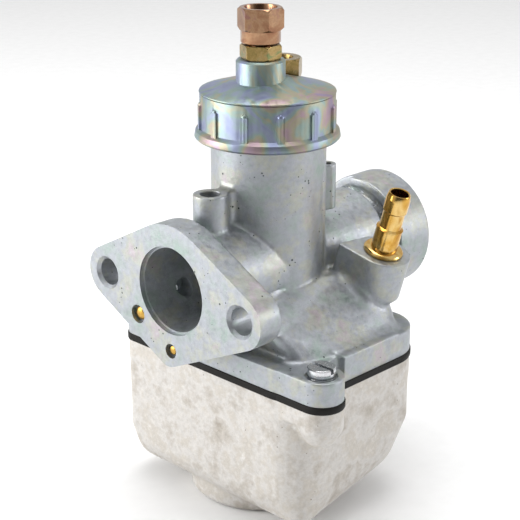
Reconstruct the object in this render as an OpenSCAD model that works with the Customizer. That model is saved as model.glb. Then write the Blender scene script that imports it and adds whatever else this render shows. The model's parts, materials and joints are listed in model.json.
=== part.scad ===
// Slide-throttle carburetor for a small two-stroke engine.
// Origin: centre of the outlet bore on the flange face. +X runs from the flange to the air horn,
// +Y to the side with the two adjusting screws, +Z up along the throttle slide.

/* [Bore and flange] */
// Radius of the narrowest part of the main bore
venturi_r = 8; // [7:0.1:9.5]
// Radius of the bore at the flange face
outlet_r = 11.4; // [10.5:0.1:13]
// Centre distance of the two flange bolt holes
flange_bolt_spacing = 48; // [44:0.5:58]
// Radius of the flange bolt holes
flange_bolt_r = 3.5; // [2.7:0.1:4]
// Thickness of the flange
flange_t = 7.2; // [6:0.1:9]
// Wall of the round intake tube behind the flange
tube_wall = 1.9; // [1.5:0.1:3]

/* [Throttle slide and barrel] */
// Distance of the slide axis from the flange face
slide_x = 31.8; // [29:0.1:38.5]
// Radius of the throttle slide
slide_r = 8.7; // [8.4:0.05:9.8]
// Height of the throttle slide
slide_h = 28; // [22:0.5:34]
// Lift of the throttle slide
slide_lift = 16; // [13:0.5:19]
// Running clearance between slide and housing, on the radius
slide_fit = 0.05; // [0.03:0.01:0.1]
// Thinnest wall of the barrel around the slide
barrel_wall = 3.25; // [2.8:0.05:4.5]
// Distance of the barrel axis from the slide axis, towards the air horn
barrel_shift = 2.5; // [2:0.1:3]

/* [Starter] */
// Radius of the starter piston
starter_r = 2.45; // [2.2:0.05:2.8]
// Travel of the starter piston
starter_lift = 7; // [5:0.5:8]
// Wall between the slide bore and the starter bore
starter_web = 1.7; // [1.2:0.1:2]

/* [Cap and adjusters] */
// Height of the ribbed cap ring
ring_h = 11.75; // [10.5:0.05:14]
// Number of grip ribs on the cap ring
ring_ribs = 12; // [8:1:16]
// Radius of the boss on the lid
lid_boss_r = 6.2; // [5.5:0.1:7]
// Width across flats of the throttle cable adjuster
adjuster_af = 10.2; // [9:0.1:11.5]
// Width across flats of the lock nut
locknut_af = 9.25; // [8.5:0.05:11]
// Width across flats of the starter cable adjuster
starter_af = 10.2; // [8.5:0.1:10.4]

/* [Air horn] */
// Distance from the flange face to the end of the air horn
horn_x = 82.4; // [78:0.1:99]
// Outer radius of the air horn ring
horn_r = 16.4; // [15:0.1:19]
// Length of the air horn ring
horn_l = 12.4; // [10:0.1:14]
// Drop of the air horn axis below the bore axis
horn_drop = 2.5; // [0:0.1:3]

/* [Fuel nipple] */
// Outer radius of the nipple's lower tube
nipple_r = 3.4; // [3:0.1:4]
// Length of the nipple above its collar
nipple_l = 18; // [15:0.5:22]
// Lean of the nipple away from the body
nipple_lean = 16.4; // [8:0.1:20]

/* [Float bowl] */
// Length of the bowl along the bore
bowl_l = 50; // [46:0.5:60]
// Width of the bowl across the bore
bowl_w = 65.2; // [57:0.1:78]
// Depth of the bowl below its gasket, without the round well
bowl_h = 35.9; // [30:0.1:44]
// Thickness of the bowl walls
bowl_wall = 2.6; // [2:0.1:3.2]
// Radius of the round well under the main jet
well_r = 19; // [16:0.5:21]
// Depth of the well below the bowl floor
well_h = 4; // [3:0.5:6]
// Height of the joint face between body and bowl below the bore axis
joint_drop = 23.5; // [22:0.5:27]
// Thickness of the bowl gasket
gasket_t = 1.6; // [0.8:0.1:2]
// Radius of the shank of the two bowl screws
screw_r = 2; // [1.8:0.1:2.4]

/* [Float] */
// Angle that the float drops from its closed position
float_drop = 12; // [8:1:14]
// Height of the float lobes
lobe_h = 17; // [12:0.5:19]
// Distance of the float needle from the hinge pin
needle_arm = 4.5; // [4:0.1:5.4]

/* [Hidden] */
$fn = 96;
eps = 0.01;
hull_fn = 28;
fit = 0.04;            // radial clearance of screwed and pushed-in pieces
seat_gap = 0.05;       // face gap between pieces that turn on each other

// Materials
zinc = "#a9b0b3";
cast_aluminium = "#d8d4cf";
passivated = "#b3b8c4";
yellow_zinc = "#c79a6b";
olive_zinc = "#a89a5c";
brass = "#d6b04a";
steel = "#9aa0a6";
rubber = "#1c1c1c";

// Flange
lobe_r = 7;
lobe_drop = 1.33;                  // bolt line below the bore axis
flange_top_r = outlet_r + 5.6;
foot_r = 4.6;
foot = [1.4, -(outlet_r + 4.6)];
bolt_y = flange_bolt_spacing / 2;
bolt_chamfer = 0.85;
outlet_step = 1.2;                 // depth of the register at the mouth of the bore
outlet_taper_r = outlet_r - 0.45;
tube_r = outlet_r + tube_wall;
plug_y = [12.4, 0.3];
plug_z = [-9.5, -16.1];
plug_r = [1.8, 1.3];
plug_ring = 0.65;
plug_l = 5;

// Barrel and slide
slide_bore_r = slide_r + slide_fit;
barrel_r = slide_bore_r + barrel_wall + barrel_shift;
barrel_x = slide_x + barrel_shift;
slide_z = -venturi_r;              // underside of the slide when closed
chamber_z = slide_z - 0.4;         // floor of the slide chamber
barrel_top = slide_z + slide_h + slide_lift + 4.5;
slide_floor = 5;
cup_r = slide_r - 1.9;
cutaway_h = 2.6;
guide_r = 1.25;
guide_z = 14;
guide_depth = 1.2;
guide_embed = 3.4;
band_angle = -50;
band_w = 3.6;
band_proud = 0.5;

// Starter
starter_bore_r = starter_r + slide_fit;
starter_angle = 20.8;
starter_pitch = slide_bore_r + starter_web + starter_bore_r;
starter_x = slide_x + starter_pitch * cos(starter_angle);
starter_y = starter_pitch * sin(starter_angle);
starter_z = venturi_r + 2;         // floor of the starter bore
seal_h = 1.4;
starter_piston_h = 10.4;

// Cap ring and lid
collar_r = barrel_r + 1.1;         // threaded top of the barrel
collar_h = 6.5;
ring_bore_r = collar_r + fit;
ring_r = ring_bore_r + 1.55;
lip_r = ring_r + 1.4;
lip_h = 2.95;
lid_gasket_t = 0.5;
lid_z = barrel_top + lid_gasket_t;
lid_flange_t = 1.1;
neck_r = barrel_r - 0.3;
ring_lip_z = lid_z + lid_flange_t + seat_gap;
lid_flange_r = neck_r + 1.2;
dome_z = lid_z + 3.5;
dome_r = ring_r + 0.15;
ring_top = dome_z - seat_gap;
ring_z = ring_top - ring_h;
dome_rise = 3.7;
lid_boss_h = 4.9;
lid_boss_z = dome_z + dome_rise + lid_boss_h;
rib_w = 1.9;
rib_h = 7.6;
rib_proud = 1.2;
rib_start = 24.9;

// Throttle cable adjuster and its lock nut
adjuster_thread_r = 3;
cable_r = 1.1;
cable_seat_r = 4.15;
locknut_h = 3.6;
locknut_z = lid_boss_z + seat_gap;
adjuster_z = locknut_z + locknut_h + 0.25;
adjuster_collar_r = adjuster_af / 2 - 0.1;
adjuster_collar_h = 3.3;
adjuster_hex_h = 5.6;
thread_depth = 9;

// Starter cable adjuster
starter_thread_r = 2.5;
starter_hex_h = 5.2;
starter_seat_z = dome_z + 1.35;    // spot face on the dome
starter_hex_z = starter_seat_z + seat_gap;
starter_thread_depth = 3.4;

// Air horn
horn_near = horn_x - horn_l;
horn_inner_r = horn_r - 2.5;
horn_floor = horn_x - 6.4;
horn_floor_t = 2.6;
throat_r0 = venturi_r + 2.6;
throat_rim_r = 12.9;
throat_rim_x = horn_near - 3;
throat_drop = 1;
throat_out_r = venturi_r + 1.2;
notch_depth = 3;
notch_y = 3;

// Posts beside the barrel
post_x = 14;
post_r = 4.4;
post_hole_r = 2.55;
post_top = 22;
post_web = 4.6;
small_post = [14.7, -7.3];         // from the barrel axis
small_post_r = 2.4;
small_post_hole_r = 1.1;
small_post_z = [12, 24.2];

// Deck and bowl
bowl_x0 = 11.5;
bowl_x1 = bowl_x0 + bowl_l;
bowl_y = bowl_w / 2;
joint_z = -joint_drop;
deck_t = 6.4;
deck_z = joint_z + deck_t;
corner_r = [4, 10, 11, 6];         // at -X+Y, -X-Y, +X-Y, +X+Y
ear_r = 5.7;
ear_out = 1.9;
ear_in = 0.3;
ears = [[bowl_x0 + ear_r + ear_in, -bowl_y - ear_out], [bowl_x1 - ear_r - ear_in, bowl_y + ear_out]];
ear_bowl_h = 10;
spot_r = 4;
spot_depth = 1;
cavity_inset = 3;
cavity_roof = joint_z + 9.5;
hollow_low = 4.4;                   // height of the hollow under the edge of the deck
hollow_inset = 13;                 // inset of the higher hollow inside the shoulder
rim_w = 4.2;
bowl_top = joint_z - gasket_t;
bowl_z = bowl_top - bowl_h;
well_z = bowl_z - well_h;
bowl_floor_t = 2.8;
bowl_round = 7;
bowl_near_r = 4;
bowl_far_r = 13;
bowl_step = 0.15;                  // the bowl's side steps in under its rim
recess_depth = 1.2;
recess_r = 10;
pad_x = [16.5, 38];                // from the front of the deck
pad_proud = 0.3;
pad_rise = 0.8;

// Shoulder of the body over the float chamber
shoulder_low = 1.9;                // inset from the deck edge
shoulder_mid_z = joint_z + 13.5;
shoulder_top_z = joint_z + 20.5;

// Fuel lug and nipple
nipple_pos = [bowl_x1 - 8.5, -bowl_y + 9, 2.9];
lug_r = 7.4;
lug_corner = [-7.8, 7.5];
lug_h = 12;
nipple_collar_r = 5.2;
nipple_collar_h = 1.3;
nipple_upper_r = nipple_r - 0.55;
nipple_barb_r = nipple_r - 0.25;
nipple_shank_r = 3;
nipple_shank_l = 8;
nipple_bore_r = 2.35;
fuel_way_r = 1.1;

// Float valve and hinge
pin_x = bowl_x1 - 4.9;
pin_z = joint_z + 1.5;
pin_r = 0.95;
valve_x = pin_x - needle_arm;
valve_y = -bowl_y + 15;
pin_half = 7.5;
hinge_r = pin_r + 0.65;
bracket_x = -needle_arm - 5;       // cross bar of the float bracket, from the pin
bracket_t = 2;
bracket_gap = 5.2;                 // from the valve's plane to the inner face of a hinge ear
seat_r = 3.1;
seat_h = 9.5;
seat_z = joint_z + hollow_low;
tang_z = joint_z + 2.3;            // top of the float tang when closed
needle_slack = 0.25;
needle_r = 1.6;
needle_foot_r = 0.7;
needle_foot_h = 1.6;
needle_tip_h = 1.2;
needle_tip_r = 0.6;
needle_h = seat_z + seat_h - 2.6 - tang_z - needle_slack;
needle_close = needle_arm * sin(float_drop);
valve_boss_r = 4.7;

// Jets
jet_boss_r = 7;
jet_boss_z = joint_z - 3.5;
needle_jet_r = 2.9;
needle_jet_top = chamber_z + 0.1;
needle_bore_r = 1.35;
holder_thread_r = 3.4;
holder_thread_l = 8;
holder_af = 8;
main_jet_z = bowl_z + 8;
main_jet_h = 5.5;
main_jet_af = 5.5;
main_thread_r = 2.3;
main_thread_l = 4.5;
jet_needle_r = 1.1;
jet_needle_z = -30;
side_boss_r = 4.2;
side_boss_z = joint_z + 3.5;
side_thread_r = 2.4;
idle_pos = [slide_x - 11.3, 5];
idle_tube_z = joint_z - 14;
starter_tube_z = bowl_z + 13;

// Adjusting screws on the +Y side
mixture_x = 17;
mixture_z = -6.5;
mixture_boss_y = tube_r + 2.7;
stop_z = -3;
stop_boss_y = barrel_r + 3;
side_screw_r = 2;
side_screw_boss_r = 4.1;
side_spring_l = 4.2;
side_washer_t = 0.7;
side_head_r = 3.5;
side_head_h = 3.2;
outlet_hole_r = 2.3;
outlet_hole = [12.2, -4.4];

// ---- helpers ----

// Turns the children so that their +Z points along +X.
module along_x() { rotate([0, 90, 0]) children(); }

// Turns the children so that their +Z points along +Y.
module along_y() { rotate([-90, 0, 0]) children(); }

module tube(r_out, r_in, h) {
    difference() {
        cylinder(r = r_out, h = h);
        translate([0, 0, -1]) cylinder(r = r_in, h = h + 2);
    }
}

// Hexagonal prism with both ends chamfered by the given amount.
module hex_prism(af, h, chamfer) {
    ac_r = af / 2 / cos(30);
    intersection() {
        cylinder(r = ac_r, h = h, $fn = 6);
        rotate_extrude() polygon([[0, 0], [ac_r - chamfer, 0], [ac_r, chamfer],
            [ac_r, h - chamfer], [ac_r - chamfer, h], [0, h]]);
    }
}

// Straight-sided outline around two circles, each [x, y, r].
module belt(a, b) {
    d = norm([b[0] - a[0], b[1] - a[1]]);
    base = atan2(b[1] - a[1], b[0] - a[0]);
    tilt = acos((a[2] - b[2]) / d);
    translate([a[0], a[1]]) circle(r = a[2]);
    translate([b[0], b[1]]) circle(r = b[2]);
    polygon([
        [a[0] + a[2] * cos(base + tilt), a[1] + a[2] * sin(base + tilt)],
        [a[0] + a[2] * cos(base - tilt), a[1] + a[2] * sin(base - tilt)],
        [b[0] + b[2] * cos(base - tilt), b[1] + b[2] * sin(base - tilt)],
        [b[0] + b[2] * cos(base + tilt), b[1] + b[2] * sin(base + tilt)]]);
}

// Points of one ring of a coil's wire; a is the angle along the coil.
function coil_ring(r, wire_r, z, a, sides) = [for (s = [0:sides - 1])
    let (t = 360 * s / sides) [(r + wire_r * cos(t)) * cos(a), (r + wire_r * cos(t)) * sin(a),
        z + wire_r * sin(t)]];

// Open helical compression spring standing on z = 0.
module coil_spring(r, wire_r, turns, h) {
    sides = 6;
    steps = 16;
    rings = turns * steps;
    rise = h - 2 * wire_r;
    points = [for (i = [0:rings]) each
        coil_ring(r, wire_r, wire_r + rise * i / rings, 360 * i / steps, sides)];
    sides_faces = [for (i = [0:rings - 1]) for (s = [0:sides - 1])
        [i * sides + s, (i + 1) * sides + s, (i + 1) * sides + (s + 1) % sides,
            i * sides + (s + 1) % sides]];
    polyhedron(points, concat(sides_faces, [[for (s = [0:sides - 1]) s]],
        [[for (s = [sides - 1:-1:0]) rings * sides + s]]));
}

// Rectangle of the bowl with rounded corners, inset all round.
module bowl_plan(inset) {
    x0 = bowl_x0 + inset;
    x1 = bowl_x1 - inset;
    y = bowl_y - inset;
    corners = [[x0, y, 1, -1], [x0, -y, 1, 1], [x1, -y, -1, 1], [x1, y, -1, -1]];
    difference() {
        translate([x0, -y]) square([x1 - x0, 2 * y]);
        for (i = [0:3]) {
            r = max(corner_r[i] - inset, 1.5);
            c = corners[i];
            translate([c[0], c[1]]) mirror([1 - c[2], 0]) mirror([0, 1 - c[3]]) difference() {
                translate([-1, -1]) square(r + 1);
                translate([r, r]) circle(r = r);
            }
        }
    }
}

// The two screw ears at opposite corners of the bowl plan.
module ear_plan() {
    for (i = [0:1]) translate(ears[i]) {
        circle(r = ear_r);
        mirror([0, i]) translate([-ear_r, 0]) square([2 * ear_r, ear_out + 12]);
    }
}

module at_ears() { for (e = ears) translate([e[0], e[1], 0]) children(); }

module at_slide() { translate([slide_x, 0, 0]) children(); }

module at_starter() { translate([starter_x, starter_y, 0]) children(); }

module at_nipple() { translate(nipple_pos) rotate([nipple_lean, 0, 0]) children(); }

module at_pin() { translate([pin_x, valve_y, pin_z]) children(); }

// ---- body casting ----

module flange_shape() {
    along_x() linear_extrude(flange_t) rotate(90) {
        belt([bolt_y, -lobe_drop, lobe_r], [0, 0, flange_top_r]);
        belt([-bolt_y, -lobe_drop, lobe_r], [0, 0, flange_top_r]);
        belt([bolt_y, -lobe_drop, lobe_r], [foot[0], foot[1], foot_r]);
        belt([-bolt_y, -lobe_drop, lobe_r], [foot[0], foot[1], foot_r]);
        polygon([[bolt_y, -lobe_drop], [0, 0], [-bolt_y, -lobe_drop], foot]);
    }
}

module shoulder() {
    lo = bowl_y - shoulder_low;
    hull() {
        for (c = [[bowl_x0 + 9.5, -lo + 7, 3], [bowl_x0 + 19.5, -lo + 4, 3],
                [bowl_x1 - 12.4, -lo + 8, 7.3], [bowl_x0 + 9, lo - 4, 4], [bowl_x1 - 9, lo - 5, 5]])
            translate([c[0], c[1], deck_z - 1]) cylinder(r = c[2], h = 1.5, $fn = hull_fn);
        for (c = [[bowl_x0 + 4.5, -lo + 9.9, 1.8], [bowl_x1 - 11, -lo + 12.2, 7],
                [bowl_x0 + 12, lo - 9, 4], [bowl_x1 - 13, lo - 9, 5]])
            translate([c[0], c[1], shoulder_mid_z - 1]) cylinder(r = c[2], h = 1, $fn = hull_fn);
        for (c = [[slide_x - 3, -8], [bowl_x1 - 16, -bowl_y + 19], [slide_x - 3, 3], [starter_x, 4]])
            translate([c[0], c[1], shoulder_top_z - 1]) cylinder(r = 3, h = 1, $fn = hull_fn);
    }
}

module lug() {
    at_nipple() translate([0, 0, -lug_h]) linear_extrude(lug_h)
        belt([0, 0, lug_r], [lug_corner[0], lug_corner[1], 0.8]);
}

module posts() {
    translate([post_x, 0, 0]) {
        translate([0, 0, tube_r - 5]) cylinder(r = post_r, h = post_top - tube_r + 5);
        translate([0, -post_web / 2, tube_r - 1])
            cube([barrel_x - barrel_r - post_x + 2, post_web, post_top - tube_r + 1]);
    }
    translate([barrel_x, 0, small_post_z[0]]) {
        translate([small_post[0], small_post[1], 0])
            cylinder(r = small_post_r, h = small_post_z[1] - small_post_z[0]);
        rotate(atan2(small_post[1], small_post[0])) translate([barrel_r - 3, -1.6, 0])
            cube([4, 3.2, small_post_z[1] - small_post_z[0] - 0.3]);
    }
}

module horn_shape() {
    translate([barrel_x, 0, -throat_drop]) along_x()
        cylinder(r1 = throat_r0, r2 = throat_rim_r, h = throat_rim_x - barrel_x);
    translate([throat_rim_x - 1, 0, -throat_drop]) along_x()
        cylinder(r = throat_out_r + 1.6, h = horn_floor - throat_rim_x + 2);
    translate([horn_near, 0, -horn_drop]) difference() {
        along_x() cylinder(r = horn_r, h = horn_l);
        translate([-1, 0, 0]) along_x() cylinder(r = horn_inner_r, h = horn_floor - horn_near + 1);
        translate([-1, notch_y, 0]) cube([notch_depth + 1, horn_r, horn_r + 1]);
    }
}

module side_bosses() {
    translate([mixture_x, 0, mixture_z]) along_y()
        translate([0, 0, outlet_r]) cylinder(r = side_screw_boss_r, h = mixture_boss_y - outlet_r);
    translate([slide_x, 0, stop_z]) along_y()
        translate([0, 0, slide_bore_r + 1])
            cylinder(r = side_screw_boss_r, h = stop_boss_y - slide_bore_r - 1);
}

module deck() {
    translate([0, 0, joint_z]) linear_extrude(deck_t) bowl_plan(0);
    translate([0, 0, joint_z]) linear_extrude(deck_t) ear_plan();
    translate([bowl_x0 + pad_x[0], -bowl_y - pad_proud, joint_z + 1])
        cube([pad_x[1] - pad_x[0], 6, deck_t - 1 + pad_rise]);
}

// Hollow over the float, with the bosses that stay standing in it.
module float_hollow() {
    difference() {
        union() {
            translate([0, 0, joint_z - 1]) linear_extrude(hollow_low + 1) bowl_plan(cavity_inset);
            translate([0, 0, joint_z]) linear_extrude(cavity_roof - joint_z) bowl_plan(hollow_inset);
        }
        at_slide() translate([0, 0, joint_z - 2]) cylinder(r = jet_boss_r, h = 30);
        translate([idle_pos[0], idle_pos[1], side_boss_z]) cylinder(r = side_boss_r, h = 30);
        at_starter() translate([0, 0, side_boss_z]) cylinder(r = side_boss_r, h = 30);
        translate([valve_x, valve_y, seat_z]) cylinder(r = valve_boss_r, h = 30);
        for (s = [-1, 1])
            at_pin() translate([-2.6, s * (bracket_gap + bracket_t / 2) - bracket_t / 2, -2.2])
                cube([5.2, bracket_t, 30]);
        translate([bowl_x0, plug_y[1], plug_z[1]]) along_x()
            cylinder(r = plug_r[1] + 1.5, h = slide_x - bowl_x0);
    }
}

module body_cuts() {
    // Main bore: register, taper, venturi and throat
    translate([-1, 0, 0]) along_x() cylinder(r = outlet_r, h = outlet_step + 1);
    along_x() cylinder(r1 = outlet_taper_r, r2 = venturi_r, h = slide_x - slide_r);
    along_x() cylinder(r = venturi_r, h = slide_x + slide_r + 6);
    translate([slide_x + slide_r + 5, 0, 0]) along_x()
        cylinder(r1 = venturi_r, r2 = throat_out_r, h = horn_floor - slide_x - slide_r + 2);
    translate([horn_floor + horn_floor_t, 0, -horn_drop]) along_x()
        cylinder(r = horn_inner_r, h = horn_l);

    // Slide and starter bores
    at_slide() translate([0, 0, chamber_z]) cylinder(r = slide_bore_r, h = barrel_top - chamber_z + 1);
    at_starter() translate([0, 0, starter_z])
        cylinder(r = starter_bore_r, h = barrel_top - starter_z + 1);
    translate([slide_x, -slide_bore_r - guide_embed, guide_z]) along_y()
        cylinder(r = guide_r, h = guide_embed + 1);

    // Flange holes, with chamfers, and the plugged drillings
    for (s = [-1, 1]) translate([0, s * bolt_y, -lobe_drop]) along_x() {
        translate([0, 0, -1]) cylinder(r = flange_bolt_r, h = flange_t + 2);
        translate([0, 0, -eps])
            cylinder(r1 = flange_bolt_r + bolt_chamfer, r2 = flange_bolt_r, h = bolt_chamfer);
    }
    for (i = [0:1]) translate([0, plug_y[i], plug_z[i]]) along_x() {
        translate([0, 0, -1]) cylinder(r = plug_r[i], h = plug_l + 2);
        translate([0, 0, -1]) cylinder(r = plug_r[i] + plug_ring, h = 1.5);
    }
    translate([0, plug_y[1], plug_z[1]]) along_x() cylinder(r = plug_r[1] * 0.7, h = slide_x - 3);
    translate([outlet_hole[0], 4, outlet_hole[1]]) along_y()
        cylinder(r = outlet_hole_r, h = tube_r - 5);

    // Posts
    translate([post_x, 0, post_top - 9]) cylinder(r = post_hole_r, h = 10);
    translate([barrel_x + small_post[0], small_post[1], small_post_z[0] + 4])
        cylinder(r = small_post_hole_r, h = 20);

    // Fuel way down to the valve
    at_nipple() translate([0, 0, -nipple_shank_l - 0.5])
        cylinder(r = nipple_shank_r + fit, h = nipple_shank_l + 1);
    at_nipple() translate([0, 0, -nipple_shank_l - 5]) cylinder(r = fuel_way_r, h = 7);
    translate([valve_x, valve_y, seat_z - 1]) cylinder(r = seat_r + fit, h = seat_h + 1);
    translate([valve_x, valve_y, seat_z]) cylinder(r = seat_r - 0.6, h = seat_h + 1.5);
    at_pin() translate([0, -pin_half - 5, 0]) along_y() cylinder(r = pin_r + fit, h = 2 * pin_half + 10);

    // Jets
    at_slide() translate([0, 0, jet_boss_z - 2])
        cylinder(r = holder_thread_r + fit, h = holder_thread_l + 2);
    at_slide() translate([0, 0, jet_boss_z]) cylinder(r = needle_jet_r + fit, h = 30);
    translate([idle_pos[0], idle_pos[1], side_boss_z - 1]) cylinder(r = side_thread_r + fit, h = 6.5);
    at_starter() translate([0, 0, side_boss_z - 1]) cylinder(r = side_thread_r + fit, h = 6.5);

    // Adjusting screws
    translate([mixture_x, 9.3, mixture_z]) along_y() cylinder(r = side_screw_r + fit, h = 20);
    translate([mixture_x, 4, mixture_z]) along_y() cylinder(r = 0.7, h = 8);
    translate([slide_x, slide_bore_r - 1, stop_z]) along_y()
        cylinder(r = side_screw_r + fit, h = 20);

    // Bowl screws, and the gap between the ear and the pad on the deck's edge
    at_ears() {
        translate([0, 0, joint_z - 1]) cylinder(r = screw_r + 0.2, h = deck_t + 2);
        translate([0, 0, deck_z - spot_depth]) cylinder(r = spot_r, h = 10);
    }
    translate([ears[0][0] + ear_r, -bowl_y - 1, joint_z + 1])
        cube([bowl_x0 + pad_x[0] - ears[0][0] - ear_r, 3.3, deck_t]);
}

module body_casting() {
    color(zinc) difference() {
        union() {
            difference() {
                union() { deck(); shoulder(); }
                float_hollow();
            }
            flange_shape();
            along_x() translate([0, 0, flange_t - 1]) cylinder(r = tube_r, h = barrel_x - flange_t - 4);
            translate([barrel_x, 0, cavity_roof]) cylinder(r = barrel_r, h = barrel_top - cavity_roof);
            translate([barrel_x, 0, barrel_top - collar_h]) cylinder(r = collar_r, h = collar_h);
            translate([barrel_x, 0, shoulder_mid_z]) rotate(band_angle)
                translate([barrel_r - 1, -band_w / 2, 0])
                    cube([1 + band_proud, band_w, ring_z - shoulder_mid_z]);
            at_slide() translate([0, 0, jet_boss_z]) cylinder(r = jet_boss_r, h = 12);
            lug();
            posts();
            horn_shape();
            side_bosses();
        }
        body_cuts();
    }
}

// ---- bowl and what closes it ----

module bowl_gasket() {
    color(rubber) translate([0, 0, bowl_top]) difference() {
        union() {
            linear_extrude(gasket_t) bowl_plan(0);
            linear_extrude(gasket_t) ear_plan();
        }
        translate([0, 0, -1]) linear_extrude(gasket_t + 2) bowl_plan(rim_w);
        translate([pin_x - 3, valve_y - bracket_gap - 0.5, -1])
            cube([3.5 + hinge_r, 2 * bracket_gap + 1, gasket_t + 2]);
        at_ears() translate([0, 0, -1]) cylinder(r = screw_r + 0.2, h = gasket_t + 2);
    }
}

// Round-edged body of the bowl, inset all round.
module bowl_body(inset) {
    side = bowl_y - bowl_step;
    feet = [[bowl_x0 + bowl_round + bowl_step, side - bowl_round, bowl_round],
        [bowl_x1 - bowl_round - 2, side - bowl_round, bowl_round],
        [bowl_x0 + bowl_near_r + 2, -side + bowl_near_r + 1, bowl_near_r],
        [bowl_x0 + bowl_round + bowl_step, -side + 14, bowl_round],
        [bowl_x1 - bowl_far_r - 1, -side + bowl_far_r + 1.5, bowl_far_r]];
    hull() {
        for (i = [0:3]) {
            x = i < 2 ? bowl_x0 + corner_r[i] : bowl_x1 - corner_r[i];
            y = (i == 0 || i == 3 ? 1 : -1) * (bowl_y - corner_r[i]);
            low = i == 2 ? bowl_far_r + 5 : 10;
            translate([x, y, bowl_z + low])
                cylinder(r = corner_r[i] - bowl_step - inset, h = bowl_h - low - 3, $fn = hull_fn);
        }
        for (c = feet) translate([c[0], c[1], bowl_z + c[2]]) sphere(r = c[2] - inset, $fn = hull_fn);
    }
}

module float_bowl() {
    color(cast_aluminium) difference() {
        union() {
            translate([0, 0, bowl_top - 6]) linear_extrude(6) bowl_plan(0);
            bowl_body(0);
            translate([0, 0, bowl_top - 5]) linear_extrude(5) ear_plan();
            at_ears() translate([0, 0, bowl_top - ear_bowl_h]) {
                cylinder(r1 = ear_r - 2.2, r2 = ear_r, h = 4);
                translate([0, 0, 4 - eps]) cylinder(r = ear_r, h = ear_bowl_h - 4);
            }
            translate([slide_x + 1, 1, well_z]) {
                cylinder(r1 = well_r - 1.2, r2 = well_r, h = 1.2);
                translate([0, 0, 1.2 - eps]) cylinder(r = well_r, h = well_h + 1);
            }
        }
        bowl_body(bowl_wall);
        translate([0, 0, bowl_top - 5]) linear_extrude(6) bowl_plan(bowl_wall);
        translate([slide_x + 1, 1, well_z + bowl_floor_t])
            cylinder(r = well_r - 4, h = bowl_h);
        at_ears() translate([0, 0, bowl_top - ear_bowl_h + 1])
            cylinder(r = screw_r + fit, h = ear_bowl_h);
        // Round-ended recess in the side of the bowl
        translate([bowl_x1 - 17, -bowl_y + recess_depth, bowl_z + bowl_h / 2 - 6]) rotate([90, 0, 0])
            linear_extrude(5) {
                circle(r = recess_r);
                translate([0, -recess_r]) square([20, 2 * recess_r]);
            }
    }
}

module bowl_screws() {
    head_z = deck_z - spot_depth + 0.9;
    head_h = 2.4;
    color(steel) at_ears() difference() {
        union() {
            translate([0, 0, head_z]) cylinder(r = 3.5, h = head_h - 0.3);
            translate([0, 0, head_z + head_h - 0.3]) cylinder(r1 = 3.5, r2 = 3.2, h = 0.3);
            translate([0, 0, bowl_top - ear_bowl_h + 2])
                cylinder(r = screw_r, h = head_z - bowl_top + ear_bowl_h - 1.5);
        }
        translate([-0.5, -5, head_z + 1.2]) cube([1, 10, 3]);
    }
}

module bowl_spring_washers() {
    color(steel) at_ears() translate([0, 0, deck_z - spot_depth]) difference() {
        tube(3.5, screw_r + 0.15, 0.9);
        rotate(35) translate([0, -0.25, -1]) cube([6, 0.5, 3]);
    }
}

// ---- lid, cap ring and adjusters ----

module lid_gasket() {
    color(rubber) translate([0, 0, barrel_top]) linear_extrude(lid_gasket_t) difference() {
        translate([barrel_x, 0]) circle(r = lid_flange_r - 0.2);
        translate([slide_x, 0]) circle(r = slide_bore_r);
        translate([starter_x, starter_y]) circle(r = starter_bore_r);
    }
}

module slide_lid() {
    dome_top = dome_z + dome_rise;
    color(passivated) difference() {
        union() {
            translate([barrel_x, 0, 0]) rotate_extrude() polygon([
                [0, lid_z], [lid_flange_r, lid_z], [lid_flange_r, lid_z + lid_flange_t],
                [neck_r, lid_z + lid_flange_t], [neck_r, dome_z], [dome_r - 0.15, dome_z],
                [dome_r, dome_z + 0.15], [dome_r - 0.1, dome_z + 0.4], [dome_r * 0.8, dome_z + 1.35],
                [dome_r * 0.6, dome_z + 2.3], [dome_r * 0.4, dome_z + 3.15], [lid_boss_r - 1, dome_top],
                [0, dome_top]]);
            at_slide() translate([0, 0, dome_z]) rotate_extrude() polygon([[0, 0], [lid_boss_r, 0],
                [lid_boss_r, dome_rise + lid_boss_h - 0.5], [lid_boss_r - 0.5, dome_rise + lid_boss_h],
                [0, dome_rise + lid_boss_h]]);
            at_starter() translate([0, 0, dome_z]) cylinder(r = starter_af / 2, h = starter_seat_z - dome_z);
        }
        at_slide() translate([0, 0, lid_z - 1]) cylinder(r = cable_r, h = 30);
        at_slide() translate([0, 0, adjuster_z - thread_depth - 1])
            cylinder(r = adjuster_thread_r + fit, h = 30);
        at_starter() translate([0, 0, lid_z - 1]) cylinder(r = cable_r, h = 30);
        at_starter() translate([0, 0, starter_hex_z - starter_thread_depth - 0.5])
            cylinder(r = starter_thread_r + fit, h = 30);
        at_starter() translate([0, 0, starter_seat_z]) cylinder(r = starter_af / 2 / cos(30) + 0.3, h = 10);
    }
}

module cap_ring() {
    color(passivated) translate([barrel_x, 0, 0]) {
        rotate_extrude() polygon([
            [ring_bore_r, ring_z], [lip_r - 0.6, ring_z], [lip_r, ring_z + 0.6],
            [lip_r - 0.3, ring_z + lip_h - 0.8], [ring_r, ring_z + lip_h], [ring_r, ring_top - 0.15],
            [ring_r - 0.15, ring_top], [neck_r + fit, ring_top], [neck_r + fit, ring_lip_z],
            [ring_bore_r, ring_lip_z]]);
        for (i = [0:ring_ribs - 1]) rotate(rib_start + i * 360 / ring_ribs)
            translate([ring_r - 0.4, 0, ring_z + lip_h - 1.2]) intersection() {
                union() {
                    cylinder(r = rib_w / 2, h = rib_h - rib_w / 4);
                    translate([0, 0, rib_h - rib_w / 4]) sphere(r = rib_w / 2);
                    translate([-0.4, -rib_w / 2, 0]) cube([0.4 + rib_proud - 0.3, rib_w, rib_h - rib_w / 4]);
                }
                translate([-0.4, -rib_w, 0]) cube([0.4 + rib_proud + 0.4, 2 * rib_w, rib_h + rib_w]);
            }
    }
}

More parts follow.
